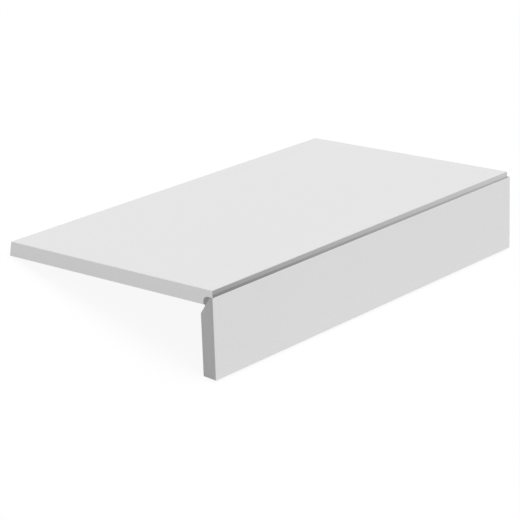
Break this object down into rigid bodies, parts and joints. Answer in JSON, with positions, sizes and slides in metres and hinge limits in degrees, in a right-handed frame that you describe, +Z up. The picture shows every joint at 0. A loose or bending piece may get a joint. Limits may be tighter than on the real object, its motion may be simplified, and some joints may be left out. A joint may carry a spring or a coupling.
{
  "type": "stair tread tile",
  "caption": "L-shaped porcelain stair tread tile: a flat tread with a bonded riser strip under its front edge, laid over the edge of a step.",
  "frame": {"origin": "middle of the part's box, on the floor that it lies on", "axes": "+X along the tread's front edge, to the right as seen from the front; +Y to the back of the tread; +Z up from the floor, with the tread's face tipped back by 15.7 degrees as it lies unheld"},
  "size_m": [0.607, 0.3472, 0.1084],
  "materials": {
    "tread_porcelain": "matt pale grey porcelain",
    "riser_porcelain": "matt pale grey porcelain",
    "joint_adhesive": "dark grey cured adhesive"
  },
  "bodies": {
    "root": {"tread_slab": "tread_porcelain", "riser_strip": "riser_porcelain", "joint_adhesive": "joint_adhesive"}
  },
  "joints": []
}
